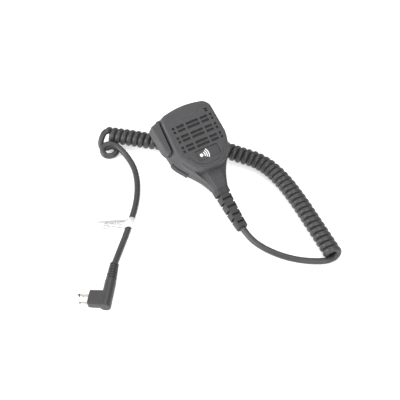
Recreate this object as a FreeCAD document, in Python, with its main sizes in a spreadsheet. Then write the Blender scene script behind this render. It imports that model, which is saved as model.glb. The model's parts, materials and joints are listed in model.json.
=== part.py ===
"""Hand microphone: speaker-microphone head with a curly cord and a two-pin plug. Millimetres.

The head is modelled in its own frame: X to the right, Y towards the top, Z out of the grille face, with
the middle of the grille at the origin.  It is then placed leaning on its curly cord, with the top raised.
The cord and the plug are modelled where they lie on the table, at z = 0.
"""

import math
import os

import FreeCAD
import Part
import Sketcher
from FreeCAD import Placement, Rotation, Vector

doc = FreeCAD.newDocument("HandMicrophone")
sheet = doc.addObject("Spreadsheet::Sheet", "Params")

DRIVING = {
    # where everything lies, and the head on it
    "table_x": 0.75,
    "table_y": 0.5,
    "lean_angle": 25.0,
    "head_x": 2.6,
    "head_y": 19.0,
    "head_z": 52.0,
    # head depths, counted from the grille face
    "parting_depth": 17.0,
    "parting_gap": 0.6,
    "back_depth": 29.0,
    "wall": 2.2,
    "face_round": 2.2,
    "back_round": 4.0,
    "neck_round": 2.5,
    "neck_top_depth": 1.0,
    # grille
    "grille_wall": 1.3,
    "slot_height": 2.3,
    "slot_pair_pitch": 9.3,
    "slot_row_pitch": 3.7,
    "slot_long": 12.0,
    "slot_short": 7.2,
    "slot_short_x": 11.6,
    "slot_square": 2.3,
    "slot_square_x": 18.4,
    "label_width": 22.4,
    "label_height": 9.8,
    "label_y": -19.4,
    "label_recess": 1.2,
    # push-to-talk button
    "button_outer_x": -34.7,
    "button_inner_x": -26.2,
    "button_flare": 1.8,
    "button_top_y": 24.0,
    "button_low_y": -6.5,
    "button_front_depth": 3.2,
    "button_back_depth": 16.2,
    "button_play": 0.5,
    "button_travel": 0.8,
    # loudspeaker
    "speaker_radius": 18.0,
    "magnet_radius": 9.0,
    "magnet_length": 3.2,
    # circuit board
    "board_depth": 13.6,
    "board_thick": 1.6,
    # fasteners
    "case_screw_radius": 1.0,
    "case_screw_head": 2.2,
    "case_post_radius": 2.7,
    "swivel_y": 2.0,
    "swivel_screw_radius": 1.5,
    # belt clip
    "clip_width": 17.0,
    "clip_plate": 1.6,
    "clip_below": 24.0,
    "clip_above": 12.0,
    "clip_pin_radius": 1.1,
    "clip_pin_up": 7.0,
    "clip_slope": 8.0,
    "running_gap": 0.06,
    # cord and plug
    "cord_radius": 2.7,
    "coil_radius": 8.25,
    "loop_radius": 9.3,
    "loop_height": 10.0,
    "boot_length": 40.0,
    "boot_bend": 14.6,
    "boot_axis_depth": 16.0,
    "plug_radius": 4.65,
    "plug_length": 24.3,
    "plug_boot_length": 17.3,
    "plug_reach": 14.8,
    "large_pin_radius": 1.75,
    "large_pin_length": 11.5,
    "small_pin_radius": 1.25,
    "small_pin_length": 8.8,
}
for row, (alias, value) in enumerate(DRIVING.items(), 1):
    sheet.set(f"A{row}", alias)
    sheet.set(f"B{row}", str(value))
    sheet.setAlias(f"B{row}", alias)
doc.recompute()

NODES = []


def dim(alias):
    """A driving dimension, read from the sheet."""
    return float(sheet.get(alias))


def bind(obj, sizes):
    """Bind each named property of obj to an expression of the sheet."""
    for prop, expression in sizes.items():
        obj.setExpression(prop, expression)
    return obj


def head_place():
    """Where the head's own frame lies on the table."""
    return Placement(
        Vector(dim("head_x"), dim("head_y"), dim("head_z")),
        Rotation(Vector(1, 0, 0), dim("lean_angle")),
    )


def node(obj, label, place=None):
    """Register a finished sub-part under its label and put it in place."""
    obj.Label = label
    doc.recompute()
    table = Placement(Vector(dim("table_x"), dim("table_y"), 0), Rotation())
    obj.Placement = table.multiply(place or head_place()).multiply(obj.Placement)
    NODES.append(obj)
    return obj


# ---------------------------------------------------------------- outlines


def mirrored(half):
    """A closed outline from its right half, listed from the top down."""
    return half + [(-x, y, r) for x, y, r in reversed(half) if x > 0]


def inset(corners, wall):
    """The same clockwise outline moved inwards by a wall."""
    moved = []
    for i, (x, y, r) in enumerate(corners):
        px, py, _ = corners[i - 1]
        nx, ny, _ = corners[(i + 1) % len(corners)]
        a = Vector(x - px, y - py, 0).normalize()
        b = Vector(nx - x, ny - y, 0).normalize()
        inward_a, inward_b = Vector(a.y, -a.x, 0), Vector(b.y, -b.x, 0)
        shift = (inward_a + inward_b) * (wall / (1 + inward_a.dot(inward_b)))
        moved.append((x + shift.x, y + shift.y, max(r - wall, 0.4) if r else 0))
    return moved


def outline_edges(corners, z=0.0):
    """Straight runs joined by tangent arcs, one arc per corner (x, y, radius)."""
    turns = []
    for i, (x, y, r) in enumerate(corners):
        px, py, _ = corners[i - 1]
        nx, ny, _ = corners[(i + 1) % len(corners)]
        here = Vector(x, y, z)
        back = (Vector(px, py, z) - here).normalize()
        ahead = (Vector(nx, ny, z) - here).normalize()
        if not r:
            turns.append((here, here, here))
            continue
        half = math.acos(back.dot(ahead)) / 2
        reach = r / math.tan(half)
        middle = here + (back + ahead).normalize() * (r / math.sin(half) - r)
        turns.append((here + back * reach, middle, here + ahead * reach))
    edges = []
    for i, (begin, middle, end) in enumerate(turns):
        if (begin - end).Length > 1e-6:
            edges.append(Part.Arc(begin, middle, end))
        following = turns[(i + 1) % len(turns)][0]
        if (following - end).Length > 1e-6:
            edges.append(Part.LineSegment(end, following))
    return edges


def outline_wire(corners, z=0.0):
    return Part.Wire([e.toShape() for e in outline_edges(corners, z)])


def rounded_box(width, height, radius, x=0.0, y=0.0):
    """A rectangle's corners, clockwise, centred on x, y."""
    w, t = width / 2, height / 2
    return [(x + w, y + t, radius), (x + w, y - t, radius), (x - w, y - t, radius), (x - w, y + t, radius)]


def slab(corners, low, high):
    """A flat piece of the given outline between two heights."""
    return Part.Face(outline_wire(corners, low)).extrude(Vector(0, 0, high - low))


# The head's outlines.  Each is the right half, from the top down, as x, y, corner radius.
BODY_HALF = [(0, 31.0, 70), (25.5, 26.8, 10), (28.4, 2, 60), (26.6, -15.0, 18), (10.6, -38.0, 50), (6.6, -50, 0)]
BASE_HALF = [(0, 31.0, 70), (25.5, 26.8, 10), (28.4, -13.0, 20), (13.4, -35.2, 17)]
FACE_HALF = [(0, 28.9, 70), (22.9, 24.6, 9), (23.9, -10.5, 24), (13.2, -32.4, 17)]
# Their last corners give way to wider ones on the left, beside the push-to-talk button.
BODY = mirrored(BODY_HALF)[:-1] + [(-27.0, 26.6, 8)]
BASE = mirrored(BASE_HALF)[:-1] + [(-27.0, 26.6, 8)]
FACE = mirrored(FACE_HALF)[:-2] + [(-26.0, -10.5, 24), (-24.4, 24.9, 8)]
NEAR_SCREWS = [(8.0, 23.2), (-8.0, 23.2)]
FAR_SCREWS = [(8.8, -32.5), (-8.8, -32.5)]
BOARD_SCREWS = [(18.0, -16.2), (-18.0, -16.2)]
CLAMP_SCREWS = [(3.8, -39.0), (-3.8, -39.0)]
JACK_SEAT = Vector(-23.33, -19.7, -21.5)
JACK_OUT = Vector(-23.0, -16.0, 0).normalize()
MIC_SEAT = (16.5, 16.3)
SWITCH_Y = 8.0


# ---------------------------------------------------------------- bodies, sketches and features


def new_body(name):
    return doc.addObject("PartDesign::Body", name)


def sketch(body, loops=(), depth="0", plane="XY_Plane", circles=()):
    """A sketch on one of the body's origin planes, moved out by an expression of the sheet."""
    sk = body.newObject("Sketcher::SketchObject", body.Name + "_sketch")
    support = [f for f in body.Origin.OriginFeatures if f.Role == plane][0]
    sk.AttachmentSupport = [(support, "")]
    sk.MapMode = "FlatFace"
    bind(sk, {"AttachmentOffset.Base.z": depth})
    for loop in loops:
        sk.addGeometry(outline_edges(loop), False)
    for x, y, radius in circles:
        index = sk.addGeometry(Part.Circle(Vector(x, y, 0), Vector(0, 0, 1), 1.0), False)
        number = sk.addConstraint(Sketcher.Constraint("Radius", index, 1.0))
        bind(sk, {f"Constraints[{number}]": radius})
    doc.recompute()
    return sk


def feature(body, kind, profile, sizes, reverse=False):
    """A PartDesign feature from a sketch, with its lengths bound to the sheet."""
    f = body.newObject("PartDesign::" + kind, body.Name + "_" + kind)
    f.Profile = profile
    f.Reversed = reverse
    bind(f, sizes)
    doc.recompute()
    return f


def loft(body, kind, first, last):
    """An additive or subtractive loft between two sketches."""
    f = body.newObject("PartDesign::" + kind, body.Name + "_" + kind)
    f.Profile = first
    f.Sections = [last]
    f.Ruled = True
    doc.recompute()
    return f


def dress(body, kind, base, chosen, sizes):
    """A Fillet or Chamfer on the edges of the last feature that chosen() picks."""
    picked = [f"Edge{i}" for i, e in enumerate(base.Shape.Edges, 1) if chosen(e)]
    f = body.newObject("PartDesign::" + kind, body.Name + "_" + kind)
    f.Base = (base, picked)
    bind(f, sizes)
    doc.recompute()
    return f


def lies_at(z, y_above=-1e3):
    """Picks edges that lie wholly at one height, beyond a limit in y."""

    def chosen(edge):
        b = edge.BoundBox
        return abs(b.ZMin - z) < 1e-3 and abs(b.ZMax - z) < 1e-3 and b.YMin > y_above

    return chosen


def primitive(kind, name, sizes, at=Vector(), turn=Rotation()):
    """A Part primitive with its sizes bound to the sheet."""
    p = bind(doc.addObject("Part::" + kind, name), sizes)
    p.Placement = Placement(at, turn)
    return p


def join(name, *objects):
    f = doc.addObject("Part::MultiFuse", name)
    f.Shapes = list(objects)
    doc.recompute()
    return f


def take(name, base, tool):
    c = doc.addObject("Part::Cut", name)
    c.Base, c.Tool = base, tool
    doc.recompute()
    return c


def plain(name, shape):
    """A Part::Feature for a shape that neither features nor primitives make."""
    f = doc.addObject("Part::Feature", name)
    f.Shape = shape
    return f


# ---------------------------------------------------------------- housings


def grille_loops():
    """The openings of the grille: three pairs of rows, each with a long, two short and two square slots."""
    loops = []
    tall, corner = dim("slot_height"), 0.5
    for pair in (-1, 0, 1):
        for row in (-0.5, 0.5):
            y = pair * dim("slot_pair_pitch") + row * dim("slot_row_pitch")
            loops.append(rounded_box(dim("slot_long"), tall, corner, 0, y))
            for side in (-1, 1):
                loops.append(rounded_box(dim("slot_short"), tall, corner, side * dim("slot_short_x"), y))
                loops.append(rounded_box(dim("slot_square"), tall, corner, side * dim("slot_square_x"), y))
    for y in (17.4, 15.4):
        loops.append(rounded_box(3.1, 1.35, 0.3, MIC_SEAT[0], y))
    return loops


def rim_line():
    """A fine line that follows the lower rim of the face, a little inside it."""
    rim = [(23.4, -13.0, 0), (13.0, -31.9, 17), (-13.0, -31.9, 17), (-23.4, -13.0, 0)]
    return inset(rim, 3.2) + inset(rim, 3.6)[::-1]


def button_bay():
    """The recess that the push-to-talk button sits in, open to the left."""
    play = dim("button_play")
    low, top = dim("button_low_y") - play, dim("button_top_y") + play
    inner = dim("button_inner_x") + dim("button_travel") + 0.2
    return [(inner, top, 0.3), (inner - dim("button_flare"), low, 0.3), (-44.0, low, 1.0), (-44.0, top, 1.0)]


def posts(body, base, length, places, radius):
    """Round posts that stand on the inside of a housing."""
    circles = sketch(body, depth=base, circles=[(x, y, radius) for x, y in places])
    return feature(body, "Pad", circles, {"Length": length})


def holes(body, base, length, places, radius):
    """Round holes that run up from a depth."""
    circles = sketch(body, depth=base, circles=[(x, y, radius) for x, y in places])
    return feature(body, "Pocket", circles, {"Length": length}, reverse=True)


def round_cut(body, name, radius, length, at, axis):
    """A straight round hole along any axis."""
    hole = body.newObject("PartDesign::SubtractiveCylinder", name)
    hole.Radius, hole.Height = radius, length
    hole.Placement = Placement(at, Rotation(Vector(0, 0, 1), axis))
    doc.recompute()


def front_housing():
    body = new_body("FrontHousing")
    base = "-Params.parting_depth + Params.parting_gap / 2"
    shoulders = [(22.0, -2.0, 3)] + BODY_HALF[3:]
    height = {"Length": "Params.parting_depth - Params.neck_top_depth"}
    feature(body, "Pad", sketch(body, [mirrored(shoulders)], base), height)
    slope = sketch(body, [[(2, -3.0, 0), (2, 5, 0), (-60, 5, 0), (-60, -11.0, 0)]], "-40", "YZ_Plane")
    neck = feature(body, "Pocket", slope, {"Length": "80"}, reverse=True)

    def neck_edges(edge):
        middle = edge.CenterOfMass
        return edge.BoundBox.ZMin > -12 and abs(middle.x) > 6.5 and middle.y < -6

    dress(body, "Fillet", neck, neck_edges, {"Radius": "Params.neck_round"})
    for side in (-1, 1):
        begin, end = Vector(side * 12.2, -24, -1.6), Vector(side * 8.4, -54, -5.6)
        round_cut(body, "Scoop", 6.6, (end - begin).Length, begin, end - begin)
    outer = sketch(body, [BASE], base)
    head = loft(body, "AdditiveLoft", outer, sketch(body, [FACE]))
    dress(body, "Fillet", head, lies_at(0), {"Radius": "Params.face_round"})
    inner = sketch(body, [inset(BASE, dim("wall"))], base)
    loft(body, "SubtractiveLoft", inner, sketch(body, [inset(FACE, dim("wall"))], "-Params.wall"))
    channel = sketch(body, [rounded_box(10, 18, 1.5, 0, -36)], base)
    feature(body, "Pocket", channel, {"Length": "6"}, reverse=True)
    bay_wall = sketch(body, [rounded_box(3.0, 32.4, 0.4, dim("button_inner_x") + 0.8, 8.6)], base)
    feature(body, "Pad", bay_wall, {"Length": "Params.parting_depth - 6.5"})
    feature(body, "Pocket", sketch(body, [button_bay()], base), {"Length": "14.1"}, reverse=True)
    posts(body, base, "Params.parting_depth - 4", NEAR_SCREWS, "Params.case_post_radius")
    posts(body, base, "6.3", FAR_SCREWS, "Params.case_post_radius")
    holes(body, base, "9", NEAR_SCREWS, "Params.case_screw_radius + 0.05")
    holes(body, base, "4.6", FAR_SCREWS, "Params.case_screw_radius + 0.05")
    posts(body, "-Params.board_depth + 0.05", "Params.board_depth - 1.5", BOARD_SCREWS, "2.0")
    holes(body, "-Params.board_depth", "8", BOARD_SCREWS, "0.85")
    feature(body, "Pocket", sketch(body, grille_loops(), "1"), {"Length": "6"})
    room = sketch(body, [rounded_box(41.6, 28, 4.3)], "-Params.grille_wall")
    feature(body, "Pocket", room, {"Length": "Params.wall - Params.grille_wall + 0.1"})
    label = rounded_box(dim("label_width"), dim("label_height"), 1.2, 0, dim("label_y"))
    feature(body, "Pocket", sketch(body, [label]), {"Length": "Params.label_recess"})
    feature(body, "Pocket", sketch(body, [rim_line()]), {"Length": "0.35"})
    round_cut(body, "CableHole", 4.2, 12, Vector(0, -42, -dim("boot_axis_depth")), Vector(0, -1, 0))
    round_cut(body, "PlungerHole", 1.7, 8, Vector(-29, SWITCH_Y, -11.5), Vector(1, 0, 0))
    return node(body, "front_housing")


def rear_housing():
    body = new_body("RearHousing")
    top = "-Params.parting_depth - Params.parting_gap / 2"
    deep = {"Length": "Params.back_depth - Params.parting_depth + 1"}
    feature(body, "Pad", sketch(body, [BODY], top), deep, reverse=True)
    back_line = -dim("back_depth")
    below = [(40, back_line, 0), (-20.9, back_line, 70), (-60, -20.4, 0), (-60, -40, 0), (40, -40, 0)]
    slope = sketch(body, [below], "-40", "YZ_Plane")
    back = feature(body, "Pocket", slope, {"Length": "80"}, reverse=True)

    def back_edges(edge):
        across = edge.BoundBox.YLength < 0.01 and edge.BoundBox.XLength > 12
        return edge.BoundBox.ZMax < -21.5 and not across

    dress(body, "Fillet", back, back_edges, {"Radius": "Params.back_round"})
    room = mirrored(BODY_HALF[:4] + [(15.2, -30.5, 4)])
    feature(body, "Pocket", sketch(body, [inset(room, 2.4)], top), {"Length": "8.8"})
    feature(body, "Pocket", sketch(body, [rounded_box(10, 20, 1.5, 0, -35)], top), {"Length": "3.8"})
    swivel = [(0, dim("swivel_y"))]
    posts(body, "-27", "9.3", NEAR_SCREWS, "Params.case_post_radius")
    posts(body, "-24.5", "6.8", FAR_SCREWS, "Params.case_post_radius")
    posts(body, "-27", "7.4", swivel, "4.2")
    posts(body, "-22", "8.4", CLAMP_SCREWS, "1.1")
    holes(body, "-35", "20", NEAR_SCREWS + FAR_SCREWS, "Params.case_screw_radius + 0.2")
    holes(body, "-35", "8.5", NEAR_SCREWS, "Params.case_screw_head + 0.3")
    holes(body, "-35", "12", FAR_SCREWS, "Params.case_screw_head + 0.3")
    holes(body, "-35", "14", swivel, "2.3")
    holes(body, "-19.5", "8", CLAMP_SCREWS, "0.6")
    round_cut(body, "CableHole", 4.2, 12, Vector(0, -42, -dim("boot_axis_depth")), Vector(0, -1, 0))
    round_cut(body, "JackHole", 3.2, 9, JACK_SEAT - JACK_OUT * 6, JACK_OUT)
    return node(body, "rear_housing")


def housing_gasket():
    """A thin seal between the two housings, set in a little from the outside."""
    body = new_body("HousingGasket")
    outline = mirrored(BODY_HALF[:5] + [(7.1, -48.5, 0)])[:-1] + BODY[-1:]
    rings = [inset(outline, 1.1), inset(outline, 2.1)]
    seal = sketch(body, rings, "-Params.parting_depth - Params.parting_gap / 2 + 0.02")
    feature(body, "Pad", seal, {"Length": "Params.parting_gap - 0.04"})
    round_cut(body, "CableHole", 4.25, 12, Vector(0, -42, -dim("boot_axis_depth")), Vector(0, -1, 0))
    return node(body, "housing_gasket")


# ---------------------------------------------------------------- behind the grille


def grille_mesh():
    body = new_body("GrilleMesh")
    cloth = sketch(body, [rounded_box(41, 27.4, 4)], "-Params.grille_wall - 0.45")
    feature(body, "Pad", cloth, {"Length": "0.4"})
    return node(body, "grille_mesh")


def label_plate():
    body = new_body("LabelPlate")
    plate = rounded_box(dim("label_width") - 0.5, dim("label_height") - 0.5, 1.0, 0, dim("label_y"))
    feature(body, "Pad", sketch(body, [plate], "-Params.label_recess + 0.02"), {"Length": "0.35"})
    return node(body, "label_plate")


def turned(name, profile):
    """A piece turned about Z from its profile, a list of radius and height."""
    wire = Part.makePolygon([Vector(r, 0, z) for r, z in profile + profile[:1]])
    return plain(name, Part.Face(wire).revolve(Vector(), Vector(0, 0, 1), 360))


def speaker():
    """Gasket, basket with four windows, paper cone with a dome and a surround, and magnet."""
    radius = dim("speaker_radius")
    ring = take(
        "SpeakerRing",
        primitive("Cylinder", "RingOuter", {"Radius": "Params.speaker_radius", "Height": "1.6"}, Vector(0, 0, -3.9)),
        primitive("Cylinder", "RingInner", {"Radius": "Params.speaker_radius - 2.3", "Height": "3"}, Vector(0, 0, -5)),
    )
    node(ring, "speaker_gasket")
    flange, back = -4.0, -9.0
    basket = [(radius, flange), (radius, flange - 0.9), (15.2, flange - 0.9), (9.6, back)]
    basket += [(0.0, back), (0.0, back + 0.8), (9.0, back + 0.8), (14.9, flange - 0.2), (15.2, flange)]
    windows = [
        Part.makeCylinder(2.1, 12, Vector(math.cos(a) * 12.4, math.sin(a) * 12.4, -10))
        for a in [math.radians(45 + 90 * k) for k in range(4)]
    ]
    frame = turned("SpeakerFrame", basket)
    frame.Shape = frame.Shape.cut(windows)
    node(frame, "speaker_frame")
    cone = [(13.9, flange - 0.35), (13.2, flange + 0.1), (12.2, flange - 0.5), (6.4, -6.8), (4.6, -5.9), (2.4, -5.2)]
    cone += [(0.0, -5.0), (0.0, -5.3), (2.4, -5.5), (4.5, -6.2), (6.4, -7.15), (12.3, flange - 0.85)]
    cone += [(13.1, flange - 0.25), (13.6, flange - 0.7)]
    node(turned("SpeakerCone", cone), "speaker_cone")
    magnet = primitive("Cylinder", "Magnet", {"Radius": "Params.magnet_radius", "Height": "Params.magnet_length"})
    magnet.Placement.Base = Vector(0, 0, back - dim("magnet_length"))
    node(magnet, "speaker_magnet")


def microphone():
    """An electret capsule in its rubber holder, behind the two small slots."""
    x, y = MIC_SEAT
    capsule = primitive("Cylinder", "Capsule", {"Radius": "3", "Height": "2.7"}, Vector(x, y, -5.8))
    node(capsule, "microphone_capsule")
    sleeve = primitive("Cylinder", "Sleeve", {"Radius": "3.9", "Height": "3.6"}, Vector(x, y, -6.1))
    pocket = primitive("Cylinder", "SleevePocket", {"Radius": "3.03", "Height": "3.4"}, Vector(x, y, -5.85))
    block = {"Length": "10", "Width": "10", "Height": "10"}
    trim = primitive("Box", "SleeveTrim", block, Vector(x - 12.9, y - 12.8, -9))
    node(take("Holder", take("HolderCup", sleeve, pocket), trim), "microphone_holder")


def circuit_board():
    body = new_body("CircuitBoard")
    edge = [(7, 18.6, 3), (20.4, 16.2, 4), (20.4, -17.5, 4), (10.5, -28.6, 4)]
    bores = [(x, y, "1.0") for x, y in BOARD_SCREWS]
    board = sketch(body, [mirrored(edge)], "-Params.board_depth - Params.board_thick", circles=bores)
    feature(body, "Pad", board, {"Length": "Params.board_thick"})
    node(body, "circuit_board")
    back = -dim("board_depth") - dim("board_thick")
    parts = [
        Part.makeBox(7, 7, 1.2, Vector(2, -16, back - 1.22)),
        Part.makeBox(5, 4, 1.0, Vector(-9, -6, back - 1.02)),
        Part.makeCylinder(2.2, 2.6, Vector(12, 4, back - 2.62)),
        Part.makeCylinder(1.8, 2.4, Vector(12, 11, back - 2.42)),
    ]
    parts += [Part.makeBox(2, 1.2, 0.6, Vector(-4 + 4 * k, 6, back - 0.62)) for k in range(3)]
    node(plain("BoardParts", Part.makeCompound(parts)), "board_components")


def screws(name, radius, head, top, places, head_height=1.3):
    """Screws whose heads lie at the low end, with a cross recess in each."""
    solids = []
    for x, y, z in places:
        shank = Part.makeCylinder(radius, top - z - head_height, Vector(x, y, z + head_height))
        cap = Part.makeCylinder(head, head_height, Vector(x, y, z))
        cross = [Part.makeBox(a, b, 0.7, Vector(x - a / 2, y - b / 2, z - 0.1)) for a, b in ((head, 0.4), (0.4, head))]
        solids.append(shank.fuse(cap).cut(cross[0].fuse(cross[1])).removeSplitter())
    return plain(name, solids[0] if len(solids) == 1 else Part.makeCompound(solids))


def fasteners():
    case = [(x, y, -27.85) for x, y in NEAR_SCREWS] + [(x, y, -24.35) for x, y in FAR_SCREWS]
    node(screws("CaseScrews", dim("case_screw_radius"), dim("case_screw_head"), -12.6, case), "housing_screws")
    back = -dim("board_depth") - dim("board_thick")
    board = [(x, y, back - 1.32) for x, y in BOARD_SCREWS]
    node(screws("BoardScrews", 0.8, 1.6, -7.5, board), "board_screws")


# ---------------------------------------------------------------- push-to-talk button, switch, jack


def button():
    body = new_body("Button")
    inner, outer = dim("button_inner_x"), dim("button_outer_x")
    low, top = dim("button_low_y"), dim("button_top_y")
    root = inner - dim("button_flare")
    face = [(inner, top, 0), (root, low, 0), (outer + 3.4, low, 2.4), (outer + 1.6, low + 4.5, 6)]
    face += [(outer, top - 2.8, 2.6)]
    pad = feature(
        body, "Pad", sketch(body, [face], "-Params.button_back_depth"),
        {"Length": "Params.button_back_depth - Params.button_front_depth"},
    )

    def outer_rim(edge):
        return edge.Length > 1.3 and (edge.CenterOfMass.x < root - 0.5 or edge.BoundBox.YLength < 8)

    def front_outer(edge):
        b = edge.BoundBox
        return abs(b.ZMin + dim("button_front_depth")) < 1e-3 and b.ZLength < 1e-3 and outer_rim(edge)

    soft = dress(body, "Fillet", pad, front_outer, {"Radius": "2.0"})

    def back_outer(edge):
        b = edge.BoundBox
        return abs(b.ZMax + dim("button_back_depth")) < 1e-3 and b.ZLength < 1e-3 and outer_rim(edge)

    dress(body, "Fillet", soft, back_outer, {"Radius": "1.2"})
    post = body.newObject("PartDesign::AdditiveCylinder", "Actuator")
    post.Radius, post.Height = 1.4, 5.8
    post.Placement = Placement(Vector(-21.7 - 5.8, SWITCH_Y, -11.5), Rotation(Vector(0, 0, 1), Vector(1, 0, 0)))
    return node(body, "ptt_button")


def switch():
    """A long-travel push switch on the board, with its plunger towards the button."""
    along = Rotation(Vector(0, 0, 1), Vector(1, 0, 0))
    sizes = {"Length": "5", "Width": "6", "Height": "4.2"}
    block = primitive("Box", "SwitchBlock", sizes, Vector(-19.2, SWITCH_Y - 3, -13.58))
    bore = primitive("Cylinder", "SwitchBore", {"Radius": "1.05", "Height": "3.4"}, Vector(-20, SWITCH_Y, -11.5), along)
    node(take("SwitchBody", block, bore), "ptt_switch_body")
    plunger = primitive(
        "Cylinder", "Plunger", {"Radius": "1.0", "Height": "3.8"}, Vector(-21.35, SWITCH_Y, -11.5), along
    )
    node(plunger, "ptt_switch_plunger")


def jack_place():
    """The socket's frame: X along the wall away from the button, Y up, Z outwards."""
    up = Vector(0, 0, 1)
    return Placement(JACK_SEAT, Rotation(up.cross(JACK_OUT), up, JACK_OUT))


def jack():
    """The earphone socket in the lower left wall, and the rubber cover that follows the wall over its mouth."""
    barrel = Part.makeCylinder(3.05, 5.7, Vector(0, 0, -5.8))
    block = Part.makeBox(7.0, 6.4, 7.6, Vector(-3.5, -3.2, -13.2))
    shape = barrel.fuse(block).cut(Part.makeCylinder(1.8, 14, Vector(0, 0, -12.2))).removeSplitter()
    shape.Placement = jack_place()
    node(plain("Jack", shape), "earphone_jack")
    low, high = JACK_SEAT.z - 3.4, JACK_SEAT.z + 3.4
    skin = slab(inset(BODY, -1.6), low, high).cut(slab(inset(BODY, -0.12), low - 1, high + 1))
    window = Part.makeBox(17.0, 10.0, 20.0, Vector(-8.5, -5.0, -12.0))
    window.Placement = jack_place()
    cover = skin.common(window).Solids[0]
    soft = [e for e in cover.Edges if outer_edge(e, low, high)]
    node(plain("JackCover", cover.makeFillet(1.0, soft)), "jack_cover")


def outer_edge(edge, low, high):
    """Picks the long edges of the jack cover's outer face."""
    b = edge.BoundBox
    flat = b.ZLength < 1e-3 and (abs(b.ZMin - low) < 1e-3 or abs(b.ZMin - high) < 1e-3)
    gap = Part.Vertex(edge.CenterOfMass).distToShape(outline_wire(BODY, edge.CenterOfMass.z))[0]
    return flat and edge.Length > 3 and gap > 1.0


# ---------------------------------------------------------------- cable entry


def boot_station(along):
    """The place on the strain relief's bent axis, with -Y pointing along the cord."""
    bend = dim("boot_length") / math.radians(dim("boot_bend"))
    turn = along / bend
    y = -50.0 - 0.05 - bend * math.sin(turn)
    z = -dim("boot_axis_depth") + bend * (1 - math.cos(turn))
    return Placement(Vector(0, y, z), Rotation(Vector(1, 0, 0), -math.degrees(turn)))


def boot_section(along, width, height):
    """A rounded outline square to the strain relief's axis."""
    corners = rounded_box(width, height, min(width, height) * 0.28)
    wire = outline_wire(corners)
    wire.Placement = boot_station(along).multiply(Placement(Vector(), Rotation(Vector(1, 0, 0), 90)))
    return wire


def strain_relief():
    """A moulded boot: collar, then a tapering sleeve slotted in turn at the sides and at front and back."""
    length = dim("boot_length")
    collar = Part.makeLoft([boot_section(s, 13.6 - 0.05 * s, 12.4 - 0.05 * s) for s in (0, 2.8, 5.6)], True)
    steps = [5.6 + (length - 5.6) * k / 8 for k in range(9)]
    widths = [12.4 - 2.95 * k / 8 for k in range(9)]
    sleeve = Part.makeLoft([boot_section(s, w, w * 0.9) for s, w in zip(steps, widths)], True)
    shape = collar.fuse(sleeve)
    pitch = (length - 7.4) / 4
    for k in range(4):
        side_at = 6.7 + pitch * k
        core = 3.9 - 0.25 * k
        for side in (-1, 1):
            slot = Part.makeBox(6, 1.9, 20, Vector(core if side > 0 else -core - 6, -0.95, -10))
            slot.Placement = boot_station(side_at)
            shape = shape.cut(slot)
        front_at = side_at + pitch / 2
        for side in (-1, 1):
            wide = 8.4 - 0.9 * k
            slot = Part.makeBox(wide, 1.9, 6, Vector(-wide / 2, -0.95, core - 0.4 if side > 0 else -core - 5.6))
            slot.Placement = boot_station(front_at)
            shape = shape.cut(slot)
    tongue = Part.makeCylinder(4.1, 4.0, Vector(0, -46.2, -dim("boot_axis_depth")), Vector(0, -1, 0))
    flange = Part.makeCylinder(4.9, 1.6, Vector(0, -43.2, -dim("boot_axis_depth")), Vector(0, -1, 0))
    link = Part.makeCylinder(4.1, 7.0, Vector(0, -43.2, -dim("boot_axis_depth")), Vector(0, -1, 0))
    shape = shape.fuse([tongue, flange, link]).removeSplitter()
    node(plain("StrainRelief", shape), "strain_relief")
    sheath = primitive(
        "Cylinder", "InnerCable", {"Radius": "Params.cord_radius - 0.25", "Height": "12"},
        Vector(0, -43.1, -dim("boot_axis_depth")), Rotation(Vector(0, 0, 1), Vector(0, 1, 0)),
    )
    node(sheath, "inner_cable")
    bar = primitive("Box", "ClampBar", {"Length": "9.4", "Width": "3.6", "Height": "1.2"}, Vector(-4.7, -40.8, -13.5))
    pair = [
        primitive("Cylinder", "ClampHole", {"Radius": "0.65", "Height": "4"}, Vector(x, y, -15))
        for x, y in CLAMP_SCREWS
    ]
    node(take("Clamp", bar, join("ClampHoles", *pair)), "cable_clamp")
    tips = [(x, y, -19.0) for x, y in CLAMP_SCREWS]
    solids = [
        Part.makeCylinder(0.55, 7.0, Vector(x, y, z)).fuse(Part.makeCylinder(1.0, 0.9, Vector(x, y, -12.28))).Solids[0]
        for x, y, z in tips
    ]
    node(plain("ClampScrews", Part.makeCompound(solids)), "clamp_screws")


# ---------------------------------------------------------------- belt clip


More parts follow.
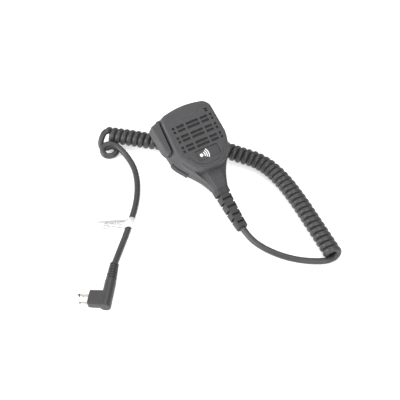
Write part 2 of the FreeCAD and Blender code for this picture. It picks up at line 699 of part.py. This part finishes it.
def clip():
    """Swivelling base plate with two ears, sprung jaw, hinge pin, spring, and the screw that holds it."""
    y0, half = dim("swivel_y"), dim("clip_width") / 2
    pin_y, pin_z = y0 + dim("clip_pin_up"), -34.8
    insert = Part.makeCylinder(2.28, 6.4, Vector(0, y0, -27.6)).cut(Part.makeCylinder(1.55, 9, Vector(0, y0, -28)))
    node(plain("Insert", insert), "swivel_insert")
    washer = Part.makeCylinder(5.2, 0.48, Vector(0, y0, -29.54)).cut(Part.makeCylinder(1.6, 2, Vector(0, y0, -30)))
    node(plain("Washer", washer), "swivel_washer")
    node(screws("SwivelScrew", dim("swivel_screw_radius"), 3.0, -22.6, [(0, y0, -33.0)], 1.6), "swivel_screw")

    base = new_body("ClipBase")
    plate = [(half, 15, 4), (half, -12, 6), (6.0, -15.2, 4)]
    floor = sketch(base, [mirrored(plate)], "-31.2", circles=[(0, y0, "Params.swivel_screw_radius + Params.running_gap")])
    feature(base, "Pad", floor, {"Length": "Params.clip_plate"})
    for side in (-1, 1):
        ear = base.newObject("PartDesign::AdditiveBox", "Ear")
        ear.Length, ear.Width, ear.Height = 1.3, 5.2, 5.6
        ear.Placement = Placement(Vector(side * (half - 0.65) - 0.65, pin_y - 2.6, pin_z - 1.6), Rotation())
        doc.recompute()
    round_cut(base, "PinHole", dim("clip_pin_radius") + 0.02, 30, Vector(-15, pin_y, pin_z), Vector(1, 0, 0))
    node(base, "clip_base")

    jaw = new_body("ClipJaw")
    down, up = -dim("clip_below"), dim("clip_above")
    top = [(half, up, 5), (half, -12, 20), (6.2, down, 4)]
    lid = sketch(jaw, [mirrored(top)], "-3.9")
    plate = feature(jaw, "Pad", lid, {"Length": "Params.clip_plate"})

    dress(jaw, "Fillet", plate, lies_at(-3.9), {"Radius": "0.7"})
    for side in (-1, 1):
        ear = jaw.newObject("PartDesign::AdditiveBox", "Ear")
        ear.Length, ear.Width, ear.Height = 1.3, 5.0, 4.6
        ear.Placement = Placement(Vector(side * (half - 2.3) - 0.65, -2.5, -2.9), Rotation())
        doc.recompute()
    lip = sketch(jaw, [rounded_box(12.0, 1.6, 0.5, 0, down + 1.2)], "-3.0")
    feature(jaw, "Pad", lip, {"Length": "2.55"})
    round_cut(jaw, "PinHole", dim("clip_pin_radius") + dim("running_gap"), 30, Vector(-15, 0, 0), Vector(1, 0, 0))
    ribs = sketch(jaw, [rounded_box(11, 1.0, 0.4, 0, up - 3.5 - 2.2 * k) for k in range(4)], "-4.3")
    feature(jaw, "Pad", ribs, {"Length": "0.6"})
    jaw.Placement = Placement(Vector(0, pin_y, pin_z), Rotation(Vector(1, 0, 0), -dim("clip_slope")))
    node(jaw, "clip_jaw")

    pin = primitive(
        "Cylinder", "ClipPin", {"Radius": "Params.clip_pin_radius", "Height": "Params.clip_width - 0.2"},
        Vector(-half + 0.1, pin_y, pin_z), Rotation(Vector(0, 0, 1), Vector(1, 0, 0)),
    )
    node(pin, "clip_pin")
    turns = Part.makeHelix(1.3, 7.8, 1.85)
    wire = Part.Wire(Part.makeCircle(0.4, Vector(1.85, 0, 0), Vector(0, 1, 0.106)))
    coil = Part.Wire(turns.Edges).makePipeShell([wire], True, True)
    coil.Placement = Placement(Vector(-3.9, pin_y, pin_z), Rotation(Vector(0, 0, 1), Vector(1, 0, 0)))
    node(plain("ClipSpring", coil), "clip_spring")


# ---------------------------------------------------------------- cord


def tube_path(points):
    """Straight runs joined by tangent arcs, each as large as its two runs allow."""
    places = [Vector(*p) for p in points]
    edges, start = [], places[0]
    radii = []
    for before, here, after in zip(places, places[1:], places[2:]):
        back, ahead = (before - here), (after - here)
        shorter = min(back.Length, ahead.Length)
        back.normalize()
        ahead.normalize()
        half_turn = (math.pi - math.acos(max(-1.0, min(1.0, back.dot(ahead))))) / 2
        radius = 0.45 * shorter / math.tan(half_turn)
        radii.append(round(radius))
        begin, end = here + back * (0.45 * shorter), here + ahead * (0.45 * shorter)
        centre = here + (back + ahead).normalize() * (radius / math.cos(half_turn))
        middle = centre + (here - centre).normalize() * radius
        edges.append(Part.LineSegment(start, begin).toShape())
        edges.append(Part.Arc(begin, middle, end).toShape())
        start = end
    edges.append(Part.LineSegment(start, places[-1]).toShape())
    return Part.Wire(edges), radii


def tube(name, points, radius):
    """A round tube along a path; its volume is compared with its section times its length."""
    path, radii = tube_path(points)
    first = Vector(*points[1]) - Vector(*points[0])
    ring = Part.Wire(Part.makeCircle(radius, Vector(*points[0]), first))
    shape = path.makePipeShell([ring], True, False)
    ratio = shape.Volume / (math.pi * radius**2 * path.Length)
    print(f"{name}: length {path.Length:.1f}, arc radii {radii}, volume ratio {ratio:.4f}")
    return plain(name, shape)


LEAD_ROUTE = [
    (2.6, -57.65, 4.3),
    (2.8, -66.5, 3.0),
    (4.8, -76.9, 2.7),
    (9.8, -88.2, 2.7),
    (17.4, -99.4, 2.7),
    (26.7, -108.9, 2.7),
    (37.0, -116.2, 2.7),
    (46.5, -121.0, 2.8),
]
COIL_ROUTE = [
    (-53.0, 99.7, 8.25),
    (-37.5, 85.7, 8.25),
    (-14.5, 63.5, 8.25),
    (8.0, 52.0, 8.25),
    (25.0, 40.5, 8.25),
    (39.5, 17.0, 8.25),
    (56.0, -4.0, 8.25),
    (60.5, -30.0, 8.25),
    (59.0, -59.5, 8.25),
    (55.2, -90.5, 8.25),
    (51.6, -121.0, 8.25),
]
LOOP_CENTRE = (-57.2, 81.5)
TAIL_ROUTE = [
    (-52.5, 84.0, 7.4),
    (-48.0, 77.0, 6.4),
    (-45.4, 66.0, 3.6),
    (-45.7, 51.5, 2.7),
    (-50.0, 37.0, 2.7),
    (-56.3, 24.0, 2.7),
    (-63.8, 12.3, 2.7),
    (-72.4, 1.9, 2.7),
    (-85.5, -12.6, 2.7),
    (-98.3, -25.6, 3.0),
    (-108.6, -37.1, 4.9),
]
ALWAYS = Placement()


def cord():
    node(tube("CordLead", LEAD_ROUTE, dim("cord_radius")), "cord_lead", ALWAYS)
    node(tube("CordCoil", COIL_ROUTE, dim("coil_radius")), "cord_coil", ALWAYS)
    node(tube("CordTail", TAIL_ROUTE, dim("cord_radius")), "cord_tail", ALWAYS)
    puck = primitive("Cylinder", "CordLoop", {"Radius": "Params.loop_radius", "Height": "Params.loop_height"})
    puck.Placement.Base = Vector(LOOP_CENTRE[0], LOOP_CENTRE[1], 0)
    node(puck, "cord_loop", ALWAYS)


def tag():
    """A paper flag folded round the tail, its flag leaning down to the table."""
    centre = Vector(-78.3, -4.63, 2.95)
    along = Vector(-13.1, -14.5, 0).normalize()
    sleeve = Part.makeCylinder(2.95, 10.5, centre - along * 5.25, along)
    sleeve = sleeve.cut(Part.makeCylinder(2.73, 12, centre - along * 6, along))
    flag = Part.makeBox(27, 10.5, 0.3, Vector(2.8, -5.25, -0.15))
    flag.Placement = Placement(centre, Rotation(Vector(0, 0, 1), 152) * Rotation(Vector(0, 1, 0), 4.9))
    body = sleeve.fuse(flag.cut(Part.makeCylinder(2.73, 12, centre - along * 6, along)))
    node(plain("Tag", body.removeSplitter()), "cord_tag", ALWAYS)


def plug_place():
    """The plug's frame: X along the plug away from the cord, -Y towards the pins, Z up."""
    turn = Rotation(Vector(0, 0, 1), 233.6) * Rotation(Vector(1, 0, 0), 5.4)
    return Placement(Vector(-108.6, -37.1, 5.05), turn)


def plug():
    """Ribbed boot, moulded angled body, and two pins with dark insulating rings."""
    place, along = plug_place(), Rotation(Vector(0, 0, 1), Vector(1, 0, 0))
    boot_end = dim("plug_boot_length")
    boot = Part.makeCone(3.65, 4.5, boot_end, Vector(0.05, 0, 0), Vector(1, 0, 0))
    for k in range(6):
        at, out = Vector(1.6 + 2.5 * k, 0, 0), Vector(1, 0, 0)
        groove = Part.makeCylinder(8, 1.1, at, out).cut(Part.makeCylinder(3.0 + 0.13 * k, 1.1, at, out))
        if k % 2:
            groove = groove.cut(Part.makeBox(4, 16, 8, at - Vector(1, 16.9, 4)))
        boot = boot.cut(groove)
    node(plain("PlugBoot", boot), "plug_boot", place)

    body = new_body("PlugBody")
    stem = body.newObject("PartDesign::AdditiveCylinder", "Stem")
    bind(stem, {"Radius": "Params.plug_radius", "Height": "Params.plug_length"})
    stem.Placement = Placement(Vector(boot_end + 0.1, 0, 0), along)
    doc.recompute()
    far = boot_end + 0.1 + dim("plug_length")
    tip = -dim("plug_reach")
    outline = [(far - 1.1, 0, 0), (far - 1.1, tip + 1.4, 0.6), (far - 2.0, tip, 0.6)]
    outline += [(far - 14.3, tip, 1.2), (far - 14.7, 0, 0)]
    block = feature(body, "Pad", sketch(body, [outline], "-3.4"), {"Length": "6.8"})

    def rims(edge):
        b = edge.BoundBox
        return abs(abs(edge.CenterOfMass.z) - 3.4) < 1e-3 and b.YMax < -4.5 or b.XMin > far - 1e-3

    dress(body, "Fillet", block, rims, {"Radius": "1.0"})
    node(body, "plug_body", place)

    rings = []
    for name, label, radius, length, x in (
        ("LargePin", "pin_large", dim("large_pin_radius"), dim("large_pin_length"), far - 10.4),
        ("SmallPin", "pin_small", dim("small_pin_radius"), dim("small_pin_length"), far - 3.4),
    ):
        root = Vector(x, tip, 0)
        out = Vector(0, -1, 0)
        profile = [(0, 0), (radius, 0), (radius, length * 0.62), (radius * 0.62, length * 0.62)]
        profile += [(radius * 0.62, length * 0.72), (radius * 0.84, length * 0.76), (radius * 0.84, length * 0.82)]
        profile += [(radius * 0.5, length * 0.88), (radius * 0.8, length * 0.93), (radius * 0.3, length), (0, length)]
        face = Part.Face(Part.makePolygon([Vector(r, 0, z) for r, z in profile + profile[:1]]))
        shape = face.revolve(Vector(), Vector(0, 0, 1), 360)
        shape.Placement = Placement(root, Rotation(Vector(0, 0, 1), out))
        node(plain(name, shape), label, place)
        ring = Part.makeCylinder(radius * 0.82, length * 0.08, root + out * (length * 0.63), out)
        rings.append(ring.cut(Part.makeCylinder(radius * 0.64, length, root, out)))
    node(plain("PinRings", Part.makeCompound(rings)), "pin_insulators", place)


def check_and_write():
    """Stop if any object failed; otherwise write one STEP file per sub-part."""
    doc.recompute()
    for obj in doc.Objects:
        if "Invalid" in obj.State or "Error" in obj.State:
            raise SystemExit(f"{obj.Name} ({obj.Label}) failed: {obj.State}")
    os.makedirs("parts", exist_ok=True)
    for sub in NODES:
        shape = sub.Shape
        if shape.isNull() or not shape.isValid():
            raise SystemExit(f"{sub.Label} has no valid shape")
        b = shape.BoundBox
        span = f"x {b.XMin:.1f}..{b.XMax:.1f}  y {b.YMin:.1f}..{b.YMax:.1f}  z {b.ZMin:.2f}..{b.ZMax:.1f}"
        print(f"{sub.Label}: {len(shape.Solids)} solids, {shape.Volume:.0f} mm3, {span}")
        shape.exportStep(f"parts/{sub.Label}.step")


front_housing()
rear_housing()
housing_gasket()
grille_mesh()
label_plate()
speaker()
microphone()
circuit_board()
fasteners()
button()
switch()
jack()
strain_relief()
clip()
cord()
tag()
plug()
check_and_write()
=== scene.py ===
"""The looks of a hand microphone with a curly cord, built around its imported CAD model. Metres."""

import json
import math

import bmesh
import bpy
from mathutils import Matrix, Vector


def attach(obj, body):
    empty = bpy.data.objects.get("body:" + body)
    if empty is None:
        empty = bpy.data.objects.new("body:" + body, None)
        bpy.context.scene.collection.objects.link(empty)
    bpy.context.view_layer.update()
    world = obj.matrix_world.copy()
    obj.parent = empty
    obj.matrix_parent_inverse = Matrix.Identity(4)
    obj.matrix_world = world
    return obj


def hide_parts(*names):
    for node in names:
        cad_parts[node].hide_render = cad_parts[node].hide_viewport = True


MM = 0.001
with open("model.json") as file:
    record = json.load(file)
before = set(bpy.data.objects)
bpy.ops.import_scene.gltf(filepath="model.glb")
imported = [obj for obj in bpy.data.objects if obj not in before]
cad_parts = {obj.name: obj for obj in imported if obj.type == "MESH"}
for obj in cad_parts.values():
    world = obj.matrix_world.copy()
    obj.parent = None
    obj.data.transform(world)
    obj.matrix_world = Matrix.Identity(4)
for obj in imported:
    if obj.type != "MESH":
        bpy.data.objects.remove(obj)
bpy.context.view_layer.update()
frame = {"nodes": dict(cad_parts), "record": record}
HEAD_TURN = Matrix.Rotation(math.radians(25.0), 4, "X")
TABLE = Vector((0.75, 0.5, 0.0)) * MM
HEAD = Matrix.Translation(TABLE + Vector((2.6, 19.0, 52.0)) * MM) @ HEAD_TURN


# ---------------------------------------------------------------- camera


CAMERA_LENS = 69.1
CAMERA_AT = TABLE + Vector((-0.2258, -0.3806, 0.5284))
CAMERA_AIM = TABLE + Vector((-0.0118, -0.0100, 0.0))


def camera():
    data = bpy.data.cameras.new("Camera")
    data.lens = CAMERA_LENS
    data.clip_start, data.clip_end = 0.01, 20
    cam = bpy.data.objects.new("Camera", data)
    bpy.context.scene.collection.objects.link(cam)
    cam.location = CAMERA_AT
    cam.rotation_euler = (CAMERA_AIM - CAMERA_AT).to_track_quat("-Z", "Y").to_euler()
    bpy.context.scene.camera = cam


# ---------------------------------------------------------------- the cord

CORD_DIAMETER = 5.4 * MM
COIL_RADIUS = 5.1
COIL_HEIGHT = 7.85
TURNS = 47.5
TURN_POINTS = 14

# routes in millimetres, on the table before it is moved to its place
LEAD_ROUTE = [
    (2.6, -57.65, 4.3),
    (2.8, -66.5, 3.0),
    (4.8, -76.9, 2.7),
    (9.8, -88.2, 2.7),
    (17.4, -99.4, 2.7),
    (26.7, -108.9, 2.7),
    (37.0, -116.2, 2.7),
    (45.0, -120.3, 2.7),
]
COIL_ROUTE = [
    (51.6, -121.0, COIL_HEIGHT),
    (55.2, -90.5, COIL_HEIGHT),
    (59.0, -59.5, COIL_HEIGHT),
    (60.5, -30.0, COIL_HEIGHT),
    (56.0, -4.0, COIL_HEIGHT),
    (39.5, 17.0, COIL_HEIGHT),
    (25.0, 40.5, COIL_HEIGHT),
    (8.0, 52.0, COIL_HEIGHT),
    (-14.5, 63.5, COIL_HEIGHT),
    (-37.5, 85.3, COIL_HEIGHT),
    (-50.0, 95.5, COIL_HEIGHT),
]
LOOP_ROUTE = [
    (-53.2, 96.0, 12.6),
    (-56.6, 94.2, 10.4),
    (-60.4, 91.2, 6.4),
    (-61.2, 87.4, 2.9),
    (-56.8, 85.4, 2.7),
    (-51.6, 85.2, 2.7),
    (-49.1, 81.0, 2.7),
    (-51.6, 75.5, 2.7),
    (-57.1, 74.0, 2.7),
    (-62.6, 77.0, 2.9),
    (-63.1, 82.5, 5.2),
    (-59.4, 85.2, 7.7),
    (-55.1, 84.6, 8.2),
]
TAIL_ROUTE = [
    (-51.5, 82.5, 8.0),
    (-48.0, 77.0, 6.6),
    (-45.4, 66.0, 3.6),
    (-45.7, 51.5, 2.7),
    (-50.0, 37.0, 2.7),
    (-56.3, 24.0, 2.7),
    (-63.8, 12.3, 2.7),
    (-72.4, 1.9, 2.7),
    (-85.5, -12.6, 2.7),
    (-98.3, -25.6, 3.0),
    (-108.6, -37.1, 4.9),
]


def nurbs(name, points):
    """A smooth curve with the points as its control points."""
    data = bpy.data.curves.new(name, "CURVE")
    data.dimensions = "3D"
    spline = data.splines.new("NURBS")
    spline.points.add(len(points) - 1)
    for point, place in zip(spline.points, points):
        point.co = (*(TABLE + Vector(place) * MM), 1.0)
        point.radius = CORD_DIAMETER / 2
    spline.order_u = 3
    spline.use_endpoint_u = True
    data.resolution_u = 6
    curve = bpy.data.objects.new(name, data)
    bpy.context.scene.collection.objects.link(curve)
    return curve


def line_of(points):
    """Points along the smooth curve of a route, in millimetres."""
    curve = nurbs("route", points)
    mesh = bpy.data.meshes.new_from_object(curve)
    line = [(v.co - TABLE) / MM for v in mesh.vertices]
    bpy.data.meshes.remove(mesh)
    bpy.data.objects.remove(curve)
    return line


def helix(axis, radius, turns):
    """Left-handed turns round an axis that lies flat, from its bottom."""
    lengths = [(b - a).length for a, b in zip(axis, axis[1:])]
    total, steps = sum(lengths), round(turns * TURN_POINTS)
    spread = radius / (0.5 + 0.5 * math.cos(math.pi / TURN_POINTS))
    points, leg, passed = [], 0, 0.0
    for i in range(steps + 1):
        share = i / steps
        travelled = total * share
        while leg < len(lengths) - 1 and travelled > passed + lengths[leg]:
            passed += lengths[leg]
            leg += 1
        along = (axis[leg + 1] - axis[leg]).normalized()
        right = Vector((along.y, -along.x, 0.0))
        phase = -math.pi / 2 + 2 * math.pi * turns * share
        turn = right * math.cos(phase) + Vector((0, 0, 1)) * math.sin(phase)
        points.append(axis[leg] + along * (travelled - passed) + turn * spread)
    return points


def cord():
    turns = helix(line_of(COIL_ROUTE), COIL_RADIUS, TURNS)
    cable = nurbs("curly_cord", LEAD_ROUTE + turns + LOOP_ROUTE + TAIL_ROUTE)
    cable.data.bevel_depth = 1.0
    cable.data.bevel_resolution = 6
    cable.data.use_fill_caps = True
    return cable


camera()
cable = cord()
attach(cable, "root")
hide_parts("cord_lead", "cord_coil", "cord_loop", "cord_tail")

# ---------------------------------------------------------------- the paper tag

TAG_AT = TABLE + Vector((-78.3, -4.63, 2.95)) * MM
TAG_ALONG = Vector((-13.1, -14.5, 0.0)).normalized()
TAG_BEARING = math.radians(152)
TAG_OUT = Vector((math.cos(TAG_BEARING), math.sin(TAG_BEARING), 0.0))
TAG_WIDTH = 10.5 * MM
TAG_LENGTH = 27.0 * MM
TAG_ROUND = 2.92 * MM
TAG_DROP = -2.1 * MM
TAG_WAVE = 0.2 * MM
TAG_GAP = 0.12 * MM
PAPER_THICKNESS = 0.1 * MM


def tag_profile():
    """The strip's line seen from its edge: along the flag, round the cord and back, as out and up."""
    steps = 14
    flag = []
    for i in range(steps):
        share = i / steps
        out = TAG_LENGTH + TAG_ROUND - share * TAG_LENGTH
        flag.append((out, TAG_DROP * (1 - share) ** 0.8 + TAG_WAVE * math.sin(share * math.pi * 1.6)))
    ring = []
    for i in range(25):
        angle = math.radians(12 + 336 * i / 24)
        ring.append((TAG_ROUND * math.cos(angle), TAG_ROUND * math.sin(angle)))
    upper = [(out, up + TAG_GAP) for out, up in flag]
    lower = [(out, up - TAG_GAP) for out, up in reversed(flag)]
    return upper + ring + lower


def tag():
    """A paper strip folded round the cord, its two ends stuck together as a flag."""
    mesh, build = bpy.data.meshes.new("tag"), bmesh.new()
    layer = build.loops.layers.uv.new("UVMap")
    profile = tag_profile()
    rows = []
    for out, up in profile:
        middle = TAG_AT + TAG_OUT * out + Vector((0, 0, 1)) * up
        rows.append([build.verts.new(middle + TAG_ALONG * (TAG_WIDTH * side)) for side in (-0.5, 0.5)])
    for i, (first, second) in enumerate(zip(rows, rows[1:])):
        face = build.faces.new((first[0], first[1], second[1], second[0]))
        face.smooth = True
        for loop, (u, v) in zip(face.loops, ((i, 0), (i, 1), (i + 1, 1), (i + 1, 0))):
            loop[layer].uv = (u / (len(rows) - 1), v)
    build.to_mesh(mesh)
    build.free()
    piece = bpy.data.objects.new("tag", mesh)
    bpy.context.scene.collection.objects.link(piece)
    thick = piece.modifiers.new("paper", "SOLIDIFY")
    thick.thickness = PAPER_THICKNESS
    thick.offset = 0
    return piece


# ---------------------------------------------------------------- the generic mark

MARK_AT = Vector((-6.0, -19.4, 0.0)) * MM
MARK_LIFT = 0.02 * MM
DOT_HOLE = 0.0002
DOT_RADIUS = 1.5
ARC_RADII = (2.7, 4.5, 6.3)
ARC_THICKNESS = 0.9
ARC_HALF_ANGLE = 36


def ring_sector(build, centre, inner, outer, first, last, height):
    """A flat curved bar between two radii and two angles in degrees."""
    steps = 16
    rows = []
    for i in range(steps + 1):
        angle = math.radians(first + (last - first) * i / steps)
        way = Vector((math.cos(angle), math.sin(angle), 0))
        rows.append([build.verts.new(centre + way * r + Vector((0, 0, height))) for r in (inner, outer)])
    for a, b in zip(rows, rows[1:]):
        build.faces.new((a[0], a[1], b[1], b[0]))


def mark():
    """A printed dot with three sound arcs, on the label plate."""
    mesh, build = bpy.data.meshes.new("mark"), bmesh.new()
    level = mark_level()
    ring_sector(build, MARK_AT, DOT_HOLE * MM, DOT_RADIUS * MM, 0, 360, level)
    for inner in ARC_RADII:
        outer = inner + ARC_THICKNESS
        ring_sector(build, MARK_AT, inner * MM, outer * MM, -ARC_HALF_ANGLE, ARC_HALF_ANGLE, level)
    bmesh.ops.remove_doubles(build, verts=build.verts, dist=1e-6)
    build.to_mesh(mesh)
    build.free()
    piece = bpy.data.objects.new("printed_mark", mesh)
    bpy.context.scene.collection.objects.link(piece)
    piece.matrix_world = HEAD
    return piece


def mark_level():
    """Just above the label plate's face, in the head's own frame."""
    back = HEAD.inverted()
    return max((back @ v.co).z for v in frame["nodes"]["label_plate"].data.vertices) + MARK_LIFT


# ---------------------------------------------------------------- materials


def material(name):
    """A material with its node tree and Principled shader."""
    mat = bpy.data.materials.new(name)
    mat.use_nodes = True
    tree = mat.node_tree
    shader = tree.nodes["Principled BSDF"]
    return mat, tree, shader


def noise(tree, scale, detail=2.0, rough=0.5, stretch=(1, 1, 1)):
    """Noise in the object's own space."""
    place = tree.nodes.new("ShaderNodeTexCoord")
    sized = tree.nodes.new("ShaderNodeMapping")
    sized.inputs["Scale"].default_value = stretch
    tex = tree.nodes.new("ShaderNodeTexNoise")
    tex.inputs["Scale"].default_value = scale
    tex.inputs["Detail"].default_value = detail
    tex.inputs["Roughness"].default_value = rough
    tree.links.new(place.outputs["Object"], sized.inputs["Vector"])
    tree.links.new(sized.outputs["Vector"], tex.inputs["Vector"])
    return tex.outputs["Fac"]


def ramp(tree, value, stops):
    """A colour ramp over a value; stops are (place, grey or colour)."""
    node = tree.nodes.new("ShaderNodeValToRGB")
    elements = node.color_ramp.elements
    while len(elements) < len(stops):
        elements.new(0.5)
    for element, (place, colour) in zip(elements, stops):
        element.position = place
        element.color = (*colour, 1) if isinstance(colour, tuple) else (colour, colour, colour, 1)
    tree.links.new(value, node.inputs["Fac"])
    return node.outputs["Color"]


def scaled(colour, factor):
    return tuple(c * factor for c in colour)


def bump(tree, shader, height, distance, strength=1.0):
    node = tree.nodes.new("ShaderNodeBump")
    node.inputs["Distance"].default_value = distance
    node.inputs["Strength"].default_value = strength
    tree.links.new(height, node.inputs["Height"])
    if shader.inputs["Normal"].is_linked:
        tree.links.new(shader.inputs["Normal"].links[0].from_socket, node.inputs["Normal"])
    tree.links.new(node.outputs["Normal"], shader.inputs["Normal"])


def moulded(name, colour, rough, grain=1000.0, depth=0.05, mottle=0.3):
    """Moulded plastic with a spark-eroded grain: fine bumps, faint mottling and uneven gloss."""
    mat, tree, shader = material(name)
    fine = noise(tree, grain, 3.0, 0.6)
    coarse = noise(tree, grain / 12, 4.0, 0.6)
    tint = ramp(tree, fine, [(0.30, scaled(colour, 1 - mottle)), (0.70, scaled(colour, 1 + mottle))])
    tree.links.new(tint, shader.inputs["Base Color"])
    gloss = ramp(tree, coarse, [(0.3, rough - 0.05), (0.7, rough + 0.06)])
    tree.links.new(gloss, shader.inputs["Roughness"])
    bump(tree, shader, fine, depth * MM)
    return mat


def metal(name, colour, rough, stretch=(1, 1, 1)):
    """Turned or plated metal with fine lines and slight dulling."""
    mat, tree, shader = material(name)
    shader.inputs["Metallic"].default_value = 1.0
    lines = noise(tree, 1400, 4.0, 0.6, stretch)
    tint = ramp(tree, lines, [(0.3, scaled(colour, 0.88)), (0.7, colour)])
    tree.links.new(tint, shader.inputs["Base Color"])
    gloss = ramp(tree, lines, [(0.3, rough), (0.7, rough + 0.12)])
    tree.links.new(gloss, shader.inputs["Roughness"])
    bump(tree, shader, lines, 0.004 * MM)
    return mat


def cloth(name, colour):
    """The fine woven cloth behind the grille."""
    mat, tree, shader = material(name)
    shader.inputs["Roughness"].default_value = 0.95
    place = tree.nodes.new("ShaderNodeTexCoord")
    threads = []
    for direction in ("X", "Y"):
        wave = tree.nodes.new("ShaderNodeTexWave")
        wave.bands_direction = direction
        wave.inputs["Scale"].default_value = 700
        wave.inputs["Distortion"].default_value = 0.6
        tree.links.new(place.outputs["Object"], wave.inputs["Vector"])
        threads.append(wave.outputs["Fac"])
    cross = tree.nodes.new("ShaderNodeMath")
    cross.operation = "MULTIPLY"
    for i, thread in enumerate(threads):
        tree.links.new(thread, cross.inputs[i])
    tint = ramp(tree, cross.outputs[0], [(0.0, scaled(colour, 0.5)), (0.6, colour)])
    tree.links.new(tint, shader.inputs["Base Color"])
    bump(tree, shader, cross.outputs[0], 0.03 * MM)
    return mat


def paper(name):
    """White label paper with a block of plain grey lines, as a stand-in for small print."""
    mat, tree, shader = material(name)
    shader.inputs["Roughness"].default_value = 0.7
    fibres = noise(tree, 3000, 4.0, 0.7)
    white = ramp(tree, fibres, [(0.3, (0.76, 0.76, 0.755)), (0.7, (0.82, 0.82, 0.815))])
    place = tree.nodes.new("ShaderNodeTexCoord")
    split = tree.nodes.new("ShaderNodeSeparateXYZ")
    tree.links.new(place.outputs["UV"], split.inputs[0])

    def maths(kind, a, b):
        node = tree.nodes.new("ShaderNodeMath")
        node.operation = kind
        for socket, value in zip(node.inputs, (a, b)):
            if isinstance(value, (int, float)):
                socket.default_value = value
            else:
                tree.links.new(value, socket)
        return node.outputs[0]

    u, v = split.outputs[0], split.outputs[1]
    rows = maths("GREATER_THAN", maths("SINE", maths("MULTIPLY", v, 40.0), 0), 0.1)
    words = maths("GREATER_THAN", noise(tree, 900, 0.0), 0.43)
    inside_v = maths("LESS_THAN", maths("ABSOLUTE", maths("SUBTRACT", v, 0.5), 0), 0.36)
    inside_u = maths("LESS_THAN", maths("ABSOLUTE", maths("SUBTRACT", u, 0.16), 0), 0.085)
    printed = maths("MULTIPLY", maths("MULTIPLY", rows, words), maths("MULTIPLY", inside_u, inside_v))
    mix = tree.nodes.new("ShaderNodeMix")
    mix.data_type = "RGBA"
    mix.inputs["B"].default_value = (0.22, 0.22, 0.23, 1)
    tree.links.new(printed, mix.inputs["Factor"])
    tree.links.new(white, mix.inputs["A"])
    tree.links.new(mix.outputs["Result"], shader.inputs["Base Color"])
    bump(tree, shader, fibres, 0.01 * MM)
    return mat


def ink(name):
    mat, tree, shader = material(name)
    speck = ramp(tree, noise(tree, 2200, 3.0), [(0.3, 0.82), (0.6, 0.92)])
    tree.links.new(speck, shader.inputs["Base Color"])
    shader.inputs["Roughness"].default_value = 0.5
    return mat


CASE = (0.053, 0.051, 0.054)
RUBBER = (0.036, 0.035, 0.037)
finishes = {
    "case": moulded("case", CASE, 0.5),
    "case_soft": moulded("button_rubber", scaled(CASE, 1.06), 0.55, 2200),
    "rubber": moulded("rubber", RUBBER, 0.62, 3200, 0.015, 0.08),
    "mesh_cloth": cloth("grille_cloth", (0.065, 0.063, 0.066)),
    "label": moulded("label", scaled(CASE, 0.92), 0.45, 3000, 0.015, 0.06),
    "speaker_steel": metal("speaker_steel", (0.62, 0.62, 0.61), 0.35),
    "paper_cone": moulded("paper_cone", (0.05, 0.048, 0.046), 0.9, 1800, 0.05, 0.2),
    "board": moulded("board", (0.02, 0.16, 0.06), 0.4, 2400, 0.01, 0.1),
    "dark_parts": moulded("dark_parts", (0.03, 0.03, 0.031), 0.5, 2600, 0.01, 0.1),
    "screw_steel": metal("screw_steel", (0.56, 0.56, 0.57), 0.3),
    "brass": metal("brass", (0.75, 0.58, 0.27), 0.3),
    "clip_plastic": moulded("clip_plastic", scaled(CASE, 0.85), 0.45),
    "cord_jacket": moulded("cord_jacket", (0.042, 0.041, 0.043), 0.42, 1500, 0.02, 0.07),
    "plug_plastic": moulded("plug_plastic", (0.040, 0.039, 0.041), 0.45, 2800, 0.012, 0.08),
    "pin_plating": metal("pin_plating", (0.95, 0.92, 0.87), 0.22),
    "paper": paper("paper"),
}


def finish(piece, slot):
    """Give a piece the material of its slot."""
    piece.data.materials.clear()
    piece.data.materials.append(finishes[slot])


# ---------------------------------------------------------------- the pieces

for part in frame["record"]["subparts"]:
    finish(frame["nodes"][part["node"]], part["material_slot"])

flag = tag()
finish(flag, "paper")
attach(flag, "root")
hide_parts("cord_tag")

printed = mark()
printed.data.materials.append(ink("white_ink"))
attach(printed, "root")

finish(cable, "cord_jacket")


# ---------------------------------------------------------------- floor and light

FLOOR_HALF_SIZE = 3.0
FLOOR_GREY = 0.9
FLOOR_GLOW = 0.42
SKY_STRENGTH = 0.5
# each lamp as its name, place, diameter and power
SOFTBOXES = (
    ("overhead", (0.1, 0.25, 1.1), 0.7, 5.0),
    ("left", (-0.9, 0.15, 0.45), 0.5, 8.0),
    ("front", (-0.15, -0.8, 0.6), 0.6, 5.0),
)


def floor():
    mesh, build = bpy.data.meshes.new("floor"), bmesh.new()
    bmesh.ops.create_grid(build, x_segments=1, y_segments=1, size=FLOOR_HALF_SIZE)
    build.to_mesh(mesh)
    build.free()
    ground = bpy.data.objects.new("floor", mesh)
    bpy.context.scene.collection.objects.link(ground)
    mat, tree, shader = material("floor")
    shader.inputs["Base Color"].default_value = (FLOOR_GREY, FLOOR_GREY, FLOOR_GREY, 1)
    shader.inputs["Roughness"].default_value = 1.0
    shader.inputs["Specular IOR Level"].default_value = 0.0
    shader.inputs["Emission Color"].default_value = (1, 1, 1, 1)
    shader.inputs["Emission Strength"].default_value = FLOOR_GLOW
    ground.data.materials.append(mat)


def softbox(name, place, size, power):
    data = bpy.data.lights.new(name, "AREA")
    data.shape = "DISK"
    data.size = size
    data.energy = power
    light = bpy.data.objects.new(name, data)
    bpy.context.scene.collection.objects.link(light)
    light.location = place
    light.rotation_euler = (-Vector(place)).to_track_quat("-Z", "Y").to_euler()


def studio():
    world = bpy.data.worlds.new("studio")
    world.use_nodes = True
    world.node_tree.nodes["Background"].inputs["Color"].default_value = (1, 1, 1, 1)
    world.node_tree.nodes["Background"].inputs["Strength"].default_value = SKY_STRENGTH
    bpy.context.scene.world = world
    for lamp in SOFTBOXES:
        softbox(*lamp)
    bpy.context.scene.view_settings.view_transform = "Standard"


floor()
studio()
